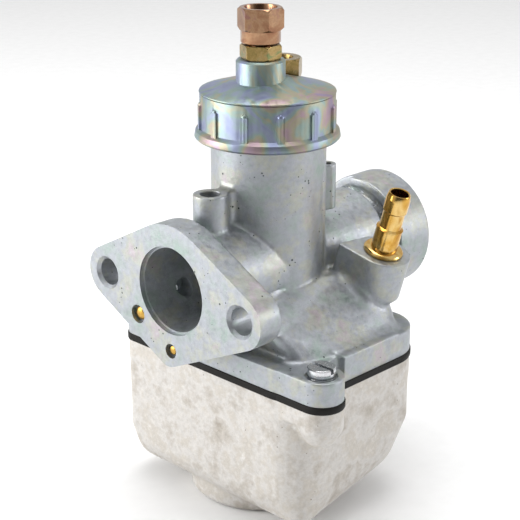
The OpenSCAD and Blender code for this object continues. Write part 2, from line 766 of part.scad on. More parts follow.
module throttle_adjuster() {
    color(yellow_zinc) at_slide() translate([0, 0, adjuster_z]) difference() {
        union() {
            translate([0, 0, -thread_depth]) cylinder(r = adjuster_thread_r, h = thread_depth + 1);
            rotate_extrude() polygon([[0, 0], [adjuster_collar_r - 0.4, 0], [adjuster_collar_r, 0.4],
                [adjuster_collar_r, adjuster_collar_h], [0, adjuster_collar_h]]);
            translate([0, 0, adjuster_collar_h]) rotate(-56) hex_prism(adjuster_af, adjuster_hex_h, 0.7);
        }
        translate([0, 0, -thread_depth - 1]) cylinder(r = cable_r, h = 40);
        translate([0, 0, adjuster_collar_h + 0.4]) cylinder(r = cable_seat_r, h = 20);
    }
}

module adjuster_locknut() {
    color(olive_zinc) at_slide() translate([0, 0, locknut_z]) difference() {
        rotate(-56) hex_prism(locknut_af, locknut_h, 0.5);
        translate([0, 0, -1]) cylinder(r = adjuster_thread_r + fit, h = 10);
    }
}

module starter_adjuster() {
    color(olive_zinc) at_starter() translate([0, 0, starter_hex_z]) difference() {
        union() {
            rotate(-25) hex_prism(starter_af, starter_hex_h, 0.8);
            translate([0, 0, -starter_thread_depth])
                cylinder(r = starter_thread_r, h = starter_thread_depth + 1);
        }
        translate([0, 0, -starter_thread_depth - 1]) cylinder(r = cable_r, h = 20);
        translate([0, 0, 1.2]) cylinder(r = 3.2, h = 20);
    }
}

// ---- throttle slide ----

module throttle_slide() {
    color(passivated) at_slide() translate([0, 0, slide_z]) difference() {
        cylinder(r = slide_r, h = slide_h);
        translate([0, 0, slide_floor]) cylinder(r = cup_r, h = slide_h);
        translate([0, 0, -1]) cylinder(r = jet_needle_r + 0.1, h = 20);
        // Cutaway of the lower edge on the air side
        translate([-1, -slide_r - 1, 0]) rotate([0, -atan(cutaway_h / slide_r), 0])
            translate([0, 0, -10]) cube([3 * slide_r, 2 * slide_r + 2, 10]);
        // Guide groove, stop groove and the cable's hole
        translate([-guide_r - fit, -slide_r - 1, -1])
            cube([2 * (guide_r + fit), 1 + guide_depth, slide_h + 2]);
        translate([-side_screw_r - 0.1, slide_r - 1.3, -1])
            cube([2 * side_screw_r + 0.2, 3, 1.1 + stop_z + side_screw_r - slide_z]);
        translate([-3.8, 0, -1]) cylinder(r = 1.5, h = 20);
    }
}

module jet_needle() {
    top = slide_z + slide_floor + 3.5;
    taper = 12;
    color(brass) at_slide() difference() {
        union() {
            translate([0, 0, jet_needle_z + taper]) cylinder(r = jet_needle_r, h = top - jet_needle_z - taper);
            translate([0, 0, jet_needle_z]) cylinder(r1 = 0.4, r2 = jet_needle_r, h = taper);
        }
        for (i = [0:3]) translate([0, 0, slide_z + slide_floor + fit + i * 0.75])
            tube(jet_needle_r + 1, jet_needle_r - 0.25, 0.45);
    }
}

module needle_clip() {
    color(steel) at_slide() translate([0, 0, slide_z + slide_floor + fit]) difference() {
        tube(3, jet_needle_r - 0.2, 0.4);
        translate([0, -0.7, -1]) cube([5, 1.4, 3]);
    }
}

module spring_seat() {
    z = slide_z + slide_floor + 0.55;
    color(steel) at_slide() translate([0, 0, z]) difference() {
        tube(cup_r - 0.1, jet_needle_r + 0.4, 1);
        translate([-3.8, 0, -1]) cylinder(r = 1.5, h = 5);
    }
}

module throttle_spring() {
    z = slide_z + slide_floor + 1.6;
    color(steel) at_slide() translate([0, 0, z])
        coil_spring(cup_r - 0.9, 0.45, 9, lid_z - z - 0.05);
}

module slide_guide_pin() {
    inner = slide_r - guide_depth + 0.1;
    color(steel) translate([slide_x, -slide_bore_r - guide_embed + 0.1, guide_z]) along_y()
        cylinder(r = guide_r - fit / 2, h = slide_bore_r + guide_embed - 0.1 - inner);
}

// ---- starter ----

module starter_seal() {
    color(rubber) at_starter() translate([0, 0, starter_z + 0.1]) cylinder(r = starter_r - 0.3, h = seal_h);
}

module starter_piston() {
    z = starter_z + 0.1 + seal_h;
    color(brass) at_starter() {
        translate([0, 0, z]) cylinder(r = starter_r, h = starter_piston_h);
        translate([0, 0, z + starter_piston_h - 1]) cylinder(r = 0.9, h = 6);
    }
}

module starter_spring() {
    z = starter_z + 0.1 + seal_h + starter_piston_h + 0.05;
    color(steel) at_starter() translate([0, 0, z]) coil_spring(1.6, 0.3, 10, lid_z - z - 0.05);
}

// ---- fuel inlet and float ----

module fuel_nipple() {
    collar_top = nipple_collar_h;
    color(brass) at_nipple() translate([0, 0, 0.02]) difference() {
        rotate_extrude() polygon([
            [0, -nipple_shank_l], [nipple_shank_r, -nipple_shank_l], [nipple_shank_r, 0],
            [nipple_collar_r, 0], [nipple_collar_r, 0.7], [nipple_collar_r - 0.7, collar_top],
            [nipple_r, collar_top], [nipple_r, 6.9], [nipple_r + 0.15, 7.1], [nipple_upper_r, 7.6],
            [nipple_upper_r, 12], [nipple_barb_r, 12.3], [nipple_barb_r, 16], [nipple_upper_r, nipple_l],
            [0, nipple_l]]);
        translate([0, 0, -nipple_shank_l - 1]) cylinder(r = fuel_way_r, h = 40);
        translate([0, 0, 2]) cylinder(r = nipple_bore_r, h = 40);
    }
}

module valve_seat() {
    color(brass) translate([valve_x, valve_y, seat_z]) difference() {
        union() {
            translate([0, 0, -1]) cylinder(r = seat_r, h = seat_h + 0.9);
            translate([0, 0, -1.2]) cylinder(r = seat_r + 0.9, h = 1.17);
        }
        translate([0, 0, -2]) cylinder(r = needle_r + slide_fit, h = seat_h - 1.5);
        translate([0, 0, seat_h - 3.5 - eps])
            cylinder(r1 = needle_r + slide_fit, r2 = needle_tip_r + slide_fit, h = needle_tip_h);
        translate([0, 0, seat_h - 4]) cylinder(r = needle_tip_r + slide_fit, h = 10);
    }
}

// Drawn dropped, as it hangs with the bowl empty.
module float_needle() {
    color(brass) translate([valve_x, valve_y, tang_z + needle_slack - needle_close]) {
        cylinder(r = needle_foot_r, h = needle_foot_h + 1);
        translate([0, 0, needle_foot_h]) cylinder(r = needle_r, h = needle_h - needle_foot_h - needle_tip_h);
        translate([0, 0, needle_h - needle_tip_h])
            cylinder(r1 = needle_r, r2 = needle_tip_r, h = needle_tip_h);
    }
}

module float_pose() { at_pin() rotate([0, -float_drop, 0]) children(); }

module float_lobes() {
    len = pin_x - bowl_x0 - bowl_wall - 12.5;
    out = bowl_y - bowl_wall - 2.2;
    in = jet_boss_r + 3.4;
    r = 5;
    color("#e9e2cf") float_pose() for (s = [-1, 1])
        translate([bracket_x - fit - len, (s > 0 ? in : -out) - valve_y, joint_z - pin_z - 5.5 - lobe_h]) hull()
            for (x = [r, len - r], y = [r, out - in - r], z = [r, lobe_h - r])
                translate([x, y, z]) sphere(r = r, $fn = 20);
}

module float_bracket() {
    t = 0.8;
    tang = tang_z - pin_z;
    drop = pin_z - joint_z + 5.5;
    half = bowl_y - bowl_wall - 8;
    color(steel) float_pose() difference() {
        union() {
            translate([0, -bracket_gap + 0.3, 0]) along_y() cylinder(r = hinge_r, h = 2 * bracket_gap - 0.6);
            translate([bracket_x, -bracket_gap + 0.6, tang - t]) cube([needle_arm + 4.2, 2 * bracket_gap - 1.2, t]);
            translate([bracket_x, -half - valve_y, tang - t - 0.6]) cube([t + 1.4, 2 * half, t + 0.6]);
            for (y = [-half - valve_y, half - valve_y - 5])
                translate([bracket_x, y, -drop - lobe_h / 2]) cube([t + 0.15, 5, drop + lobe_h / 2 + tang]);
        }
        translate([0, -20, 0]) along_y() cylinder(r = pin_r + fit, h = 40);
    }
}

module float_pin() {
    color(steel) at_pin() translate([0, -pin_half, 0]) along_y() cylinder(r = pin_r, h = 2 * pin_half);
}

// ---- jets ----

module needle_jet() {
    z = jet_boss_z + holder_thread_l + 0.05;
    color(brass) at_slide() translate([0, 0, z]) tube(needle_jet_r, needle_bore_r, needle_jet_top - z);
}

module jet_holder() {
    bottom = main_jet_z + main_jet_h;
    color(brass) at_slide() difference() {
        union() {
            translate([0, 0, jet_boss_z - 1]) cylinder(r = holder_thread_r, h = holder_thread_l + 1);
            translate([0, 0, bottom]) hex_prism(holder_af, jet_boss_z - bottom - 0.02, 0.5);
        }
        translate([0, 0, bottom - 1]) cylinder(r = 1.9, h = 60);
        translate([0, 0, bottom - 1]) cylinder(r = main_thread_r + fit, h = main_thread_l + 1);
        translate([0, -10, jet_boss_z - 4]) along_y() cylinder(r = 0.8, h = 20);
    }
}

module main_jet() {
    color(brass) at_slide() translate([0, 0, main_jet_z]) difference() {
        union() {
            hex_prism(main_jet_af, main_jet_h - 0.05, 0.4);
            translate([0, 0, main_jet_h - 1]) cylinder(r = main_thread_r, h = main_thread_l);
        }
        translate([0, 0, -1]) cylinder(r = 0.35, h = 30);
        translate([0, 0, -1]) cylinder(r = 1.2, h = 3);
    }
}

// Screwed tube jet that hangs from the roof of the float chamber.
module tube_jet(tube_z, bore) {
    color(brass) difference() {
        union() {
            translate([0, 0, side_boss_z - 0.05]) cylinder(r = side_thread_r, h = 5);
            translate([0, 0, side_boss_z - 1.85]) cylinder(r = side_thread_r + 0.6, h = 1.8);
            translate([0, 0, tube_z]) cylinder(r = 1.5, h = side_boss_z - tube_z);
        }
        translate([0, 0, tube_z - 1]) cylinder(r = bore, h = 60);
        translate([0, 0, tube_z - 1]) cylinder(r = 0.9, h = 6);
    }
}

module idle_jet() { translate([idle_pos[0], idle_pos[1], 0]) tube_jet(idle_tube_z, 0.3); }

module starter_jet() { at_starter() tube_jet(starter_tube_z, 0.45); }

// ---- adjusting screws ----

module side_screw(tip_y, boss_y, cone) {
    head_y = boss_y + side_spring_l + side_washer_t;
    color(brass) along_y() difference() {
        union() {
            translate([0, 0, tip_y + cone]) cylinder(r = side_screw_r, h = head_y - tip_y - cone + 1);
            translate([0, 0, tip_y]) cylinder(r1 = 0.45, r2 = cone > 1 ? 1.6 : side_screw_r, h = cone + eps);
            translate([0, 0, head_y]) cylinder(r = side_head_r, h = side_head_h - 0.3);
            translate([0, 0, head_y + side_head_h - 0.3])
                cylinder(r1 = side_head_r, r2 = side_head_r - 0.3, h = 0.3);
        }
        translate([-5, -0.5, head_y + side_head_h - 1.4]) cube([10, 1, 3]);
    }
}

module side_washer(boss_y) {
    color(steel) along_y() translate([0, 0, boss_y + side_spring_l])
        tube(side_head_r, side_screw_r + fit, side_washer_t - seat_gap);
}

module side_spring(boss_y) {
    color(steel) along_y() translate([0, 0, boss_y + 0.03])
        coil_spring(side_screw_r + 0.55, 0.3, 5, side_spring_l - 0.06);
}

module at_mixture() { translate([mixture_x, 0, mixture_z]) children(); }

module at_stop() { translate([slide_x, 0, stop_z]) children(); }

module mixture_screw() { at_mixture() side_screw(9.5, mixture_boss_y, 3); }

module mixture_washer() { at_mixture() side_washer(mixture_boss_y); }

module mixture_spring() { at_mixture() side_spring(mixture_boss_y); }

module stop_screw() { at_stop() side_screw(slide_r - 1.2, stop_boss_y, 0.6); }

module stop_washer() { at_stop() side_washer(stop_boss_y); }

module stop_spring() { at_stop() side_spring(stop_boss_y); }

module flange_plugs() {
    color(brass) for (i = [0:1]) translate([0.25, plug_y[i], plug_z[i]]) along_x()
        cylinder(r = plug_r[i] - 0.02, h = plug_l);
}

body_casting();
bowl_gasket();
float_bowl();
bowl_screws();
bowl_spring_washers();
lid_gasket();
slide_lid();
cap_ring();
throttle_slide();
jet_needle();
needle_clip();
spring_seat();
throttle_spring();
slide_guide_pin();
throttle_adjuster();
adjuster_locknut();
starter_piston();
starter_seal();
starter_spring();
starter_adjuster();
fuel_nipple();
valve_seat();
float_needle();
float_lobes();
float_bracket();
float_pin();
needle_jet();
jet_holder();
main_jet();
idle_jet();
starter_jet();
mixture_screw();
mixture_washer();
mixture_spring();
stop_screw();
stop_washer();
stop_spring();
flange_plugs();
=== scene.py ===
import json
import math

import bmesh
import bpy
from mathutils import Matrix, Vector


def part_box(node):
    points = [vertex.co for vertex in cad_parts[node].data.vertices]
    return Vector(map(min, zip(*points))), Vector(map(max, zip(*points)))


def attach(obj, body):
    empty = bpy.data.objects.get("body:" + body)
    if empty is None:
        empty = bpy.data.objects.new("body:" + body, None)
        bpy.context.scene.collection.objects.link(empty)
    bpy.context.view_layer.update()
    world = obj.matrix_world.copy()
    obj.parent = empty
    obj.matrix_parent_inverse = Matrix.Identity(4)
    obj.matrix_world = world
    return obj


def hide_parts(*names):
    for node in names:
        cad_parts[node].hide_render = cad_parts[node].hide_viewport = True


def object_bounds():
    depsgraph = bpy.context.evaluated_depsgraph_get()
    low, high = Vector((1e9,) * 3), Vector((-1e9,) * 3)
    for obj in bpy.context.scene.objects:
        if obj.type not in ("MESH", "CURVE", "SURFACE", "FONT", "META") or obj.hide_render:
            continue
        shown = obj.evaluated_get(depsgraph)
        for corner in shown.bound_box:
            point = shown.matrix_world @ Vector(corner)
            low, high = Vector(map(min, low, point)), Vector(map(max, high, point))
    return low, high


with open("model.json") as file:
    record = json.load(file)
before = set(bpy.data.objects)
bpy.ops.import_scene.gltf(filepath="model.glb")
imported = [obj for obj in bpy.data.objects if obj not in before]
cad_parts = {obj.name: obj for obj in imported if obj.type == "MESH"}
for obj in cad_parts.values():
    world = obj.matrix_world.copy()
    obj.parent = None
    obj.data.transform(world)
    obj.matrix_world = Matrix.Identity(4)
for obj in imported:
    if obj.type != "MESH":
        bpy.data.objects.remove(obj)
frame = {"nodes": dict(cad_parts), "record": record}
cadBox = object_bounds()
nodes = frame["nodes"]
mounts = {m["name"]: m for m in frame["record"]["mounts"]}
scene = bpy.context.scene
mm = 0.001
print("carburetor frame loaded,", len(nodes), "parts")


def linearColour(hexText):
    # sRGB hex to the linear values that Blender's sockets take
    parts = [int(hexText[i : i + 2], 16) / 255 for i in (1, 3, 5)]
    return [c / 12.92 if c <= 0.04045 else ((c + 0.055) / 1.055) ** 2.4 for c in parts] + [1]


def addNode(tree, kind, settings, links=None):
    # settings are node properties or input values, links are input name to output socket
    node = tree.nodes.new("ShaderNode" + kind)
    for key, value in settings.items():
        if isinstance(key, str) and hasattr(node, key):
            setattr(node, key, value)
        else:
            node.inputs[key].default_value = value
    for key, output in (links or {}).items():
        tree.links.new(output, node.inputs[key])
    return node


def rampStops(node, stops):
    # colour stops as (position, hex)
    ramp = node.color_ramp
    while len(ramp.elements) > 1:
        ramp.elements.remove(ramp.elements[-1])
    ramp.elements[0].position = stops[0][0]
    ramp.elements[0].color = linearColour(stops[0][1])
    for position, hexText in stops[1:]:
        ramp.elements.new(position).color = linearColour(hexText)


def newMaterial(name):
    material = bpy.data.materials.new(name)
    material.use_nodes = True
    tree = material.node_tree
    tree.nodes.clear()
    shader = addNode(tree, "BsdfPrincipled", {})
    addNode(tree, "OutputMaterial", {}, {"Surface": shader.outputs["BSDF"]})
    # object coordinates in millimetres, so that a pattern's scale is 1 / its real size
    place = addNode(tree, "TexCoord", {})
    inMm = addNode(tree, "Mapping", {"Scale": (1000, 1000, 1000)}, {"Vector": place.outputs["Object"]})
    return material, tree, shader, inMm.outputs["Vector"]


def linkTo(tree, shader, key, output):
    tree.links.new(output, shader.inputs[key])


def withModifier(obj, kind, **settings):
    modifier = obj.modifiers.new(kind.lower(), kind)
    for key, value in settings.items():
        setattr(modifier, key, value)


# Zinc alloy, pressure die cast and passivated: a dull grey skin with faint green and pink
# stains from the bath, a fine grain and small dark pores. All sizes are in mm.
zincSkin = {
    "stains": [(0.30, "#95a89f"), (0.41, "#a3abaa"), (0.50, "#a8abb2"), (0.58, "#aeb1a8"), (0.66, "#b3aab0"),
               (0.74, "#b6babb")],
    "stainSize": 9.0,
    "mottleSize": 1.6,
    "mottle": (0.80, 1.12),
    "pore": "#3f4644",
    "poreShare": 0.2,  # radius of the largest pore, in cells
    "poreSize": 1.5,
    "patchSize": 5.1,  # patches where pores gather
    "grainSize": 0.28,
    "metallic": 0.78,
    "roughness": (0.36, 0.56),
}


def castZinc(name, look):
    material, tree, shader, at = newMaterial(name)
    stain = addNode(tree, "TexNoise", {"Scale": 1 / look["stainSize"], "Detail": 7, "Roughness": 0.68},
                    {"Vector": at})
    base = addNode(tree, "ValToRGB", {}, {"Fac": stain.outputs["Fac"]})
    rampStops(base, look["stains"])
    mottle = addNode(tree, "TexNoise", {"Scale": 1 / look["mottleSize"], "Detail": 5, "Roughness": 0.7},
                     {"Vector": at})
    tone = addNode(tree, "MapRange", {"From Min": 0.3, "From Max": 0.7, "To Min": look["mottle"][0],
                                      "To Max": look["mottle"][1]}, {"Value": mottle.outputs["Fac"]})
    toned = addNode(tree, "MixRGB", {"blend_type": "MULTIPLY", "Fac": 1.0},
                    {"Color1": base.outputs["Color"], "Color2": tone.outputs["Result"]})
    # pores: dark cell centres, only where a broad noise is high
    cells = addNode(tree, "TexVoronoi", {"Scale": 1 / look["poreSize"], "Randomness": 1.0}, {"Vector": at})
    where = addNode(tree, "TexNoise", {"Scale": 1 / look["patchSize"], "Detail": 1}, {"Vector": at})
    size = addNode(tree, "MapRange", {"From Min": 0.46, "From Max": 0.72, "To Min": 0.0,
                                      "To Max": look["poreShare"]}, {"Value": where.outputs["Fac"]})
    pit = addNode(tree, "Math", {"operation": "LESS_THAN"},
                  {0: cells.outputs["Distance"], 1: size.outputs["Result"]})
    pitted = addNode(tree, "MixRGB", {"Color2": linearColour(look["pore"])},
                     {"Color1": toned.outputs["Color"], "Fac": pit.outputs["Value"]})
    linkTo(tree, shader, "Base Color", pitted.outputs["Color"])
    shine = addNode(tree, "MapRange", {"From Min": 0.35, "From Max": 0.68, "To Min": look["roughness"][0],
                                       "To Max": look["roughness"][1]}, {"Value": mottle.outputs["Fac"]})
    linkTo(tree, shader, "Roughness", shine.outputs["Result"])
    shader.inputs["Metallic"].default_value = look["metallic"]
    grain = addNode(tree, "TexNoise", {"Scale": 1 / look["grainSize"], "Detail": 2, "Roughness": 0.6},
                    {"Vector": at})
    fine = addNode(tree, "Bump", {"Strength": 0.16, "Distance": 0.08 * mm}, {"Height": grain.outputs["Fac"]})
    broad = addNode(tree, "Bump", {"Strength": 0.22, "Distance": 0.5 * mm},
                    {"Height": mottle.outputs["Fac"], "Normal": fine.outputs["Normal"]})
    dent = addNode(tree, "Bump", {"Strength": 0.5, "Distance": 0.3 * mm, "invert": True},
                   {"Height": pit.outputs["Value"], "Normal": broad.outputs["Normal"]})
    linkTo(tree, shader, "Normal", dent.outputs["Normal"])
    return material


# Sand-rough gravity-cast aluminium: nearly white, with beige and grey blotches.
bowlSkin = {
    "stains": [(0.30, "#a39b90"), (0.41, "#beb8b0"), (0.50, "#cfccc8"), (0.59, "#c4beb5"), (0.70, "#dbd9d6")],
    "stainSize": 10.0,
    "mottleSize": 1.1,
    "mottle": (0.86, 1.08),
    "pore": "#857b70",
    "poreShare": 0.1,
    "poreSize": 2.0,
    "patchSize": 6.8,
    "grainSize": 0.45,
    "metallic": 0.35,
    "roughness": (0.46, 0.66),
}

# Clear blue passivation over smooth zinc: satin, with a rainbow of lilac, blue, green and pink.
passivatedZinc = {
    "film": [(0.32, "#848bab"), (0.41, "#9098ae"), (0.48, "#8c9f9a"), (0.55, "#a39e88"), (0.62, "#a8929a"),
             (0.72, "#998ca5")],
    "filmSize": 12.0,
    "mottleSize": 2.6,
    "mottle": 0.92,
    "roughness": (0.38, 0.5),
    "metallic": 0.92,
}


def platedMetal(name, look):
    material, tree, shader, at = newMaterial(name)
    film = addNode(tree, "TexNoise", {"Scale": 1 / look["filmSize"], "Detail": 3, "Roughness": 0.55,
                                      "Distortion": 1.2}, {"Vector": at})
    base = addNode(tree, "ValToRGB", {}, {"Fac": film.outputs["Fac"]})
    rampStops(base, look["film"])
    mottle = addNode(tree, "TexNoise", {"Scale": 1 / look["mottleSize"], "Detail": 4, "Roughness": 0.65},
                     {"Vector": at})
    tone = addNode(tree, "MapRange", {"From Min": 0.3, "From Max": 0.7, "To Min": look["mottle"],
                                      "To Max": 1.05}, {"Value": mottle.outputs["Fac"]})
    toned = addNode(tree, "MixRGB", {"blend_type": "MULTIPLY", "Fac": 1.0},
                    {"Color1": base.outputs["Color"], "Color2": tone.outputs["Result"]})
    linkTo(tree, shader, "Base Color", toned.outputs["Color"])
    shine = addNode(tree, "MapRange", {"From Min": 0.3, "From Max": 0.7, "To Min": look["roughness"][0],
                                       "To Max": look["roughness"][1]}, {"Value": mottle.outputs["Fac"]})
    linkTo(tree, shader, "Roughness", shine.outputs["Result"])
    shader.inputs["Metallic"].default_value = look["metallic"]
    grain = addNode(tree, "Bump", {"Strength": 0.1, "Distance": 0.06 * mm}, {"Height": mottle.outputs["Fac"]})
    linkTo(tree, shader, "Normal", grain.outputs["Normal"])
    return material


# Yellow chromate on turned zinc-plated steel, thick and pinkish: reads as copper and gold.
copperChromate = {
    "film": [(0.30, "#8a6049"), (0.44, "#9f775b"), (0.56, "#ae8a6b"), (0.70, "#9b7166")],
    "filmSize": 7.0,
    "mottleSize": 0.5,
    "mottle": 0.85,
    "roughness": (0.16, 0.28),
    "metallic": 1.0,
}

# The same bath, thinner: olive to straw.
oliveChromate = {
    "film": [(0.30, "#7f7446"), (0.44, "#97814f"), (0.56, "#a98f60"), (0.70, "#7f8459")],
    "filmSize": 2.8,
    "mottleSize": 0.5,
    "mottle": 0.85,
    "roughness": (0.18, 0.30),
    "metallic": 1.0,
}

# Bright gold chromate on the fuel nipple, with orange where it pooled.
goldChromate = {
    "film": [(0.30, "#b07a34"), (0.45, "#cfa14e"), (0.58, "#dfbf7c"), (0.72, "#bd8a3e")],
    "filmSize": 9.0,
    "mottleSize": 0.8,
    "mottle": 0.93,
    "roughness": (0.12, 0.22),
    "metallic": 1.0,
}

# Bright zinc plate on screws and washers.
brightZinc = {
    "film": [(0.30, "#c9cdd1"), (0.50, "#dcdfe1"), (0.70, "#d3d0d4")],
    "filmSize": 2.5,
    "mottleSize": 0.35,
    "mottle": 0.9,
    "roughness": (0.16, 0.30),
    "metallic": 1.0,
}

# Turned free-cutting brass, a little tarnished.
turnedBrass = {
    "film": [(0.30, "#a8843c"), (0.50, "#c9a252"), (0.70, "#b98f48")],
    "filmSize": 2.0,
    "mottleSize": 0.3,
    "mottle": 0.9,
    "roughness": (0.22, 0.36),
    "metallic": 1.0,
}

# Cold-drawn spring wire.
springWire = {
    "film": [(0.35, "#7e8388"), (0.65, "#969b9f")],
    "filmSize": 1.5,
    "mottleSize": 0.25,
    "mottle": 0.9,
    "roughness": (0.28, 0.42),
    "metallic": 1.0,
}

# Nickel-plated brass slide, fine turned.
nickelPlate = {
    "film": [(0.35, "#b4b2ab"), (0.65, "#c6c3bb")],
    "filmSize": 3.0,
    "mottleSize": 0.3,
    "mottle": 0.9,
    "roughness": (0.20, 0.32),
    "metallic": 1.0,
}


def mouldedPolymer(name, look):
    # no metal: rubber or polyamide, with a fine skin and a slight speckle
    material, tree, shader, at = newMaterial(name)
    speckle = addNode(tree, "TexNoise", {"Scale": 1 / look["speckleSize"], "Detail": 4, "Roughness": 0.7},
                      {"Vector": at})
    base = addNode(tree, "ValToRGB", {}, {"Fac": speckle.outputs["Fac"]})
    rampStops(base, look["tones"])
    linkTo(tree, shader, "Base Color", base.outputs["Color"])
    shine = addNode(tree, "MapRange", {"From Min": 0.3, "From Max": 0.7, "To Min": look["roughness"][0],
                                       "To Max": look["roughness"][1]}, {"Value": speckle.outputs["Fac"]})
    linkTo(tree, shader, "Roughness", shine.outputs["Result"])
    shader.inputs["IOR"].default_value = look["ior"]
    shader.inputs["Specular IOR Level"].default_value = look["gloss"]
    skin = addNode(tree, "Bump", {"Strength": 0.2, "Distance": 0.1 * mm}, {"Height": speckle.outputs["Fac"]})
    linkTo(tree, shader, "Normal", skin.outputs["Normal"])
    return material


# Black nitrile sheet, punched.
nitrile = {
    "tones": [(0.35, "#0b0a09"), (0.65, "#191714")],
    "speckleSize": 0.5,
    "roughness": (0.5, 0.75),
    "ior": 1.52,
    "gloss": 0.22,
}

# Cream polyamide float, injection moulded.
polyamide = {
    "tones": [(0.35, "#ddd4bd"), (0.65, "#eae3cf")],
    "speckleSize": 1.2,
    "roughness": (0.38, 0.5),
    "ior": 1.53,
    "gloss": 0.5,
}

finishes = {
    "zinc_casting": castZinc("pressureCastZinc", zincSkin),
    "cast_aluminium": castZinc("sandCastAluminium", bowlSkin),
    "passivated_zinc": platedMetal("bluePassivatedZinc", passivatedZinc),
    "yellow_chromate_steel": platedMetal("copperYellowChromate", copperChromate),
    "olive_chromate_steel": platedMetal("oliveChromate", oliveChromate),
    "yellow_chromate_nipple": platedMetal("goldChromate", goldChromate),
    "zinc_plated_steel": platedMetal("brightZincPlate", brightZinc),
    "brass": platedMetal("turnedBrass", turnedBrass),
    "spring_steel": platedMetal("drawnSpringWire", springWire),
    "plated_slide": platedMetal("nickelPlatedSlide", nickelPlate),
    "gasket_rubber": mouldedPolymer("nitrileSheet", nitrile),
    "float_plastic": mouldedPolymer("polyamideFloat", polyamide),
}
print("finishes mixed:", len(finishes))


slotOf = {s["node"]: s["material_slot"] for s in frame["record"]["subparts"]}
edgeBreak = {  # width of each piece's broken edges in mm, the others keep theirs sharp
    "slide_lid": 0.12, "cap_ring": 0.18, "throttle_adjuster": 0.14, "adjuster_locknut": 0.12,
    "starter_adjuster": 0.14, "bowl_screws": 0.15, "bowl_spring_washers": 0.08, "bowl_gasket": 0.15,
    "mixture_screw": 0.12, "stop_screw": 0.12, "mixture_washer": 0.06, "stop_washer": 0.06,
    "throttle_slide": 0.12, "jet_holder": 0.1, "main_jet": 0.1,
}
edgeAngle = 32  # degrees, sharper corners than this are broken
weldGap = 0.002  # mm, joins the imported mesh's split corners
bulge = 0.28  # mm that the clamped gasket creeps out of its joint

for name, part in nodes.items():
    part.data.materials.clear()
    part.data.materials.append(finishes[slotOf[name]])
    if name in edgeBreak:
        withModifier(part, "WELD", merge_threshold=weldGap * mm)
        withModifier(part, "DECIMATE", decimate_type="DISSOLVE", angle_limit=math.radians(0.4))
        withModifier(part, "BEVEL", width=edgeBreak[name] * mm, segments=2, limit_method="ANGLE",
                     angle_limit=math.radians(edgeAngle), use_clamp_overlap=True, harden_normals=True)
withModifier(nodes["bowl_gasket"], "DISPLACE", mid_level=0, strength=bulge * mm)
print("edges broken")


def placed(name, bm):
    shape = bpy.data.meshes.new(name)
    bm.to_mesh(shape)
    bm.free()
    obj = bpy.data.objects.new(name, shape)
    scene.collection.objects.link(obj)
    return obj


def baked(obj, kind, **settings):
    # one modifier, applied
    withModifier(obj, kind, **settings)
    evaluated = obj.evaluated_get(bpy.context.evaluated_depsgraph_get())
    shape = bpy.data.meshes.new_from_object(evaluated)
    obj.modifiers.clear()
    obj.data = shape


def rod(bm, start, end, r0, r1=None, sides=64):
    # solid round bar or cone between two points, in mm
    a, b = Vector(start) * mm, Vector(end) * mm
    turn = (b - a).to_track_quat("Z", "Y").to_matrix().to_4x4()
    bmesh.ops.create_cone(bm, cap_ends=True, segments=sides, radius1=r0 * mm,
                          radius2=(r0 if r1 is None else r1) * mm, depth=(b - a).length,
                          matrix=Matrix.Translation((a + b) / 2) @ turn)


def slab(bm, low, high):
    low, high = Vector(low) * mm, Vector(high) * mm
    shape = Matrix.Translation((low + high) / 2) @ Matrix.Diagonal((*(high - low), 1))
    bmesh.ops.create_cube(bm, size=1, matrix=shape)


def turned(bm, profile, matrix, sides=72):
    # lathe a closed outline of (radius, height) in mm round the matrix's Z axis
    turns = [2 * math.pi * i / sides for i in range(sides)]
    rings = []
    for r, z in profile:
        spots = [(r * math.cos(t), r * math.sin(t), z) for t in turns] if r else [(0, 0, z)]
        rings.append([bm.verts.new(matrix @ (Vector(spot) * mm)) for spot in spots])
    pairs = list(zip(rings, rings[1:]))
    if len(rings[0]) > 1 or len(rings[-1]) > 1:
        pairs.append((rings[-1], rings[0]))  # a hollow piece closes on itself
    for low, high in pairs:
        for i in range(sides):
            j = (i + 1) % sides
            ring = [low[i % len(low)], low[j % len(low)], high[j % len(high)], high[i % len(high)]]
            corners = list(dict.fromkeys(ring))  # a ring of one point makes a triangle
            if len(corners) > 2:
                bm.faces.new(corners)
    bmesh.ops.recalc_face_normals(bm, faces=bm.faces)


def cutAway(obj, cuts):
    # each cut is a cutter's function and its sizes
    for draw, *sizes in cuts:
        bm = bmesh.new()
        draw(bm, *sizes)
        cutter = placed("cutter", bm)
        baked(obj, "BOOLEAN", operation="DIFFERENCE", solver="MANIFOLD", object=cutter)
        bpy.data.objects.remove(cutter)


def roughCasting(name, node, look, machined, cores=()):
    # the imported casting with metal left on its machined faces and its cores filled,
    # grown and shrunk again so that inner corners fill up, then softened
    shape = nodes[node].data.copy()
    for axis, height, way in machined:
        for v in shape.vertices:
            if abs(v.co[axis] - height * mm) < onFace * mm:
                v.co[axis] += way * look["allowance"] * mm
    bm = bmesh.new()
    bm.from_mesh(shape)
    bmesh.ops.remove_doubles(bm, verts=bm.verts, dist=weldGap * mm)
    for core in cores:
        rod(bm, *core)
    casting = placed(name, bm)
    for way in (1, -1):
        baked(casting, "REMESH", mode="VOXEL", voxel_size=look["voxel"] * mm, use_smooth_shade=True)
        baked(casting, "DISPLACE", mid_level=0, strength=way * look["fillet"] * mm)
    baked(casting, "SMOOTH", factor=0.5, iterations=look["relax"])
    return casting


def surfaced(piece, slot, angle=30):
    # a finish, and soft shading that still breaks at machined edges
    piece.data.materials.clear()
    piece.data.materials.append(finishes[slot])
    piece.data.shade_smooth()
    piece.data.set_sharp_from_angle(angle=math.radians(angle))
    withModifier(piece, "WEIGHTED_NORMAL", keep_sharp=True, weight=80)  # keeps big faces flat to the eye


def finished(name, bm, replaced, body, slot):
    piece = placed(name, bm)
    surfaced(piece, slot, 35)
    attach(piece, body)
    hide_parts(replaced)


